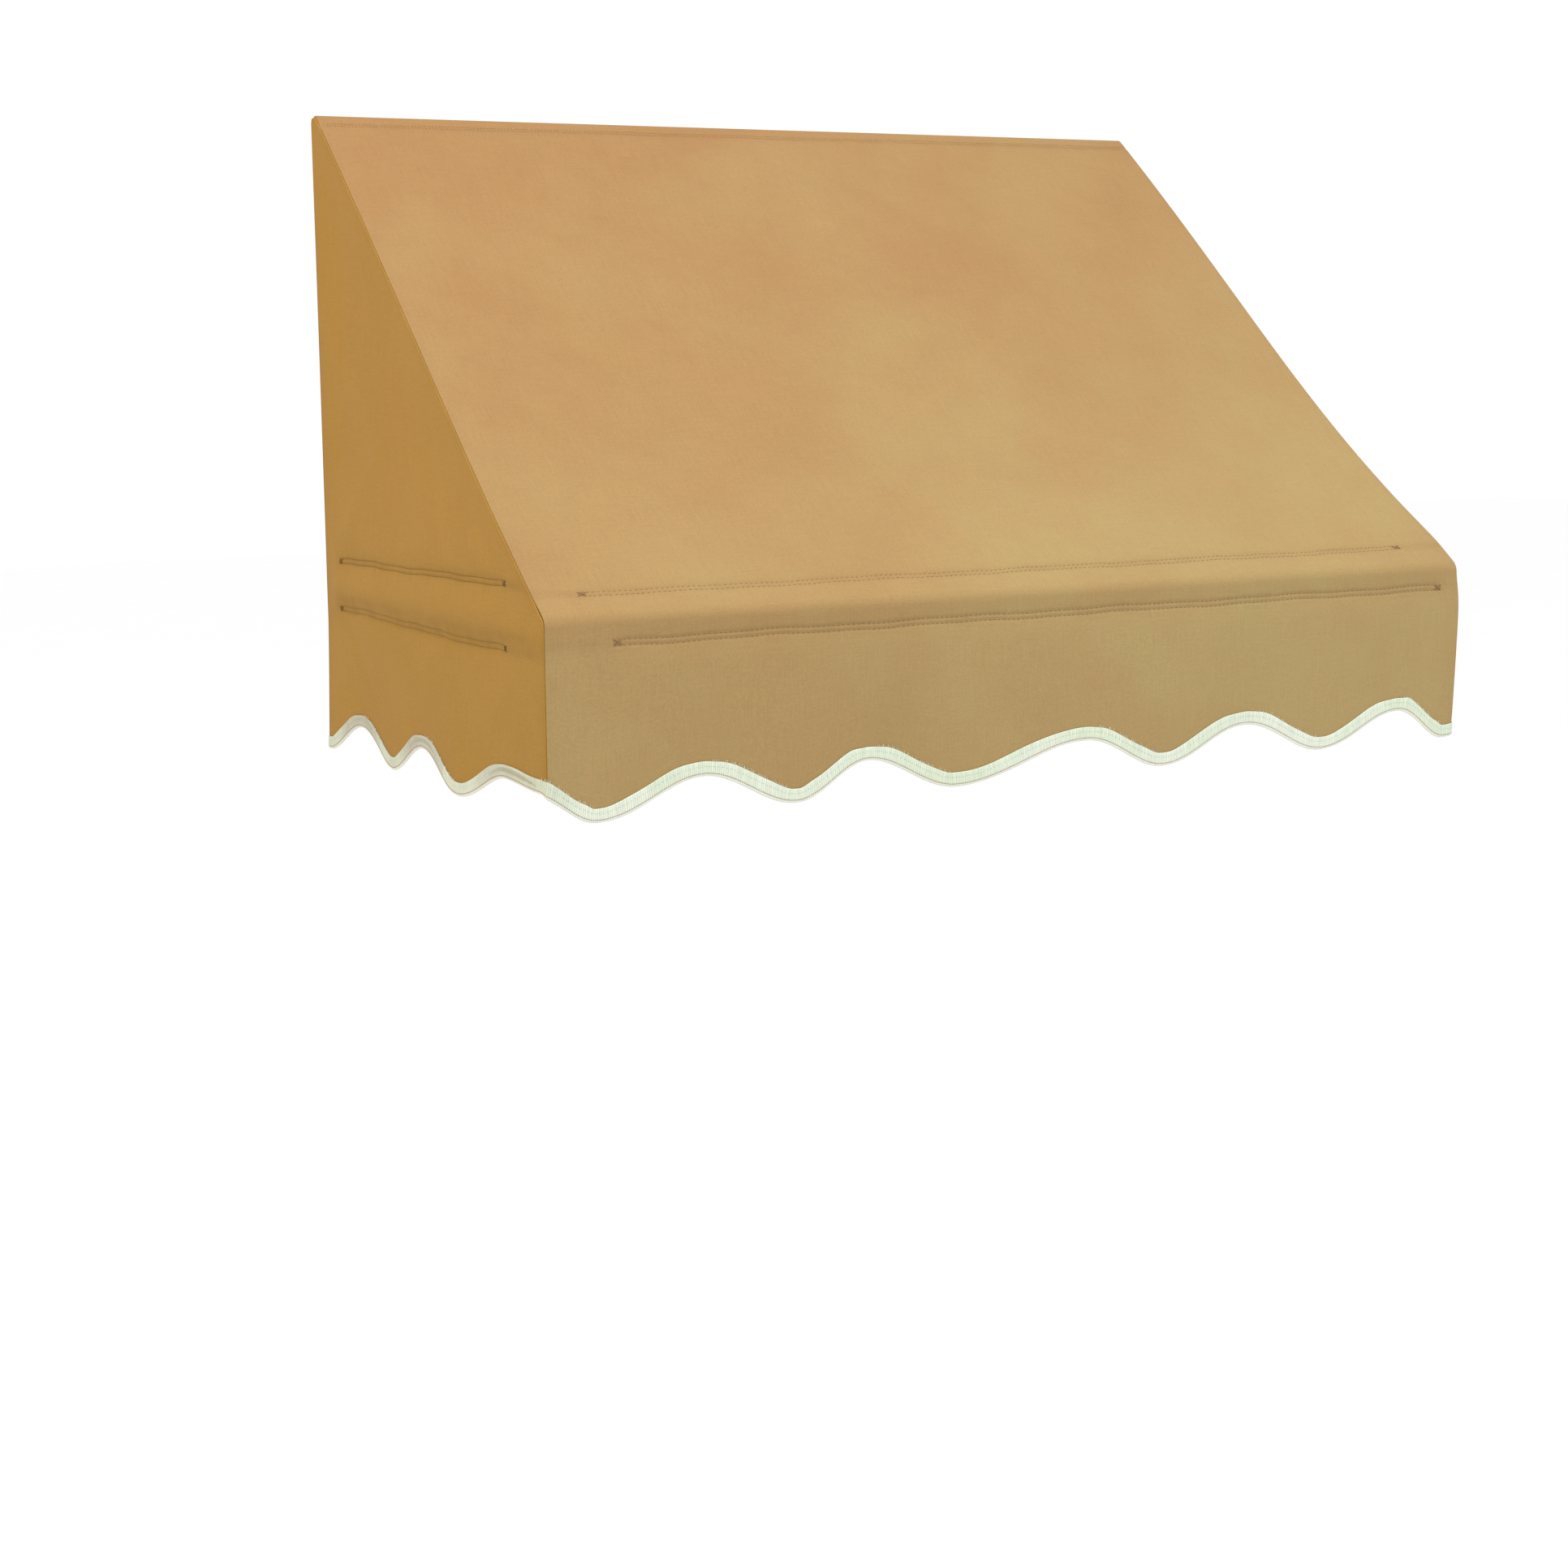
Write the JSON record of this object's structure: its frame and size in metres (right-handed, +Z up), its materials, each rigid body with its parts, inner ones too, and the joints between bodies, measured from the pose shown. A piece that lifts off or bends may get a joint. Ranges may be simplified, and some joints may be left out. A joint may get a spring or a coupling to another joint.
{
  "type": "window awning",
  "caption": "Fixed window awning: a sloping cloth canopy with side panels and a scalloped, tape-bound valance over a hidden wall-mounted tube frame.",
  "frame": {"origin": "middle of the wall face of the centre hook bracket, just under the top hem", "axes": "+X along the wall to the right as seen from outside, +Y into the wall, so the awning stands out towards -Y, +Z up"},
  "size_m": [1.222, 0.721, 0.797],
  "materials": {
    "canopy_cloth": "woven awning cloth, sand coloured, matt",
    "side_cloth": "the same woven awning cloth, a shade deeper on the side panels",
    "binding_tape": "ribbed binding tape, pale mint white",
    "powder_coat": "white powder coat, satin",
    "white_plastic": "white moulded plastic",
    "zinc_steel": "bright zinc plate"
  },
  "bodies": {
    "root": {"arm_bolt_left": "zinc_steel", "arm_bolt_right": "zinc_steel", "arm_bracket_left": "zinc_steel", "arm_bracket_right": "zinc_steel", "arm_left": "powder_coat", "arm_nut_left": "zinc_steel", "arm_nut_right": "zinc_steel", "arm_plug_left": "white_plastic", "arm_plug_right": "white_plastic", "arm_right": "powder_coat", "arm_sleeve_left": "side_cloth", "arm_sleeve_right": "side_cloth", "edge_binding": "binding_tape", "elbow_left": "white_plastic", "elbow_right": "white_plastic", "elbow_screw_left_front": "zinc_steel", "elbow_screw_left_side": "zinc_steel", "elbow_screw_right_front": "zinc_steel", "elbow_screw_right_side": "zinc_steel", "front_bar": "powder_coat", "front_bar_sleeve": "canopy_cloth", "head_rod": "powder_coat", "hook_bracket_centre": "zinc_steel", "hook_bracket_left": "zinc_steel", "hook_bracket_right": "zinc_steel", "rod_cap_left": "white_plastic", "rod_cap_right": "white_plastic", "side_panel_left": "side_cloth", "side_panel_right": "side_cloth", "stay_bracket_left": "zinc_steel", "stay_bracket_right": "zinc_steel", "stay_front_bolt_left": "zinc_steel", "stay_front_bolt_right": "zinc_steel", "stay_front_nut_left": "zinc_steel", "stay_front_nut_right": "zinc_steel", "stay_left": "zinc_steel", "stay_right": "zinc_steel", "stay_wall_bolt_left": "zinc_steel", "stay_wall_bolt_right": "zinc_steel", "stay_wall_nut_left": "zinc_steel", "stay_wall_nut_right": "zinc_steel", "top_panel": "canopy_cloth"}
  },
  "joints": []
}
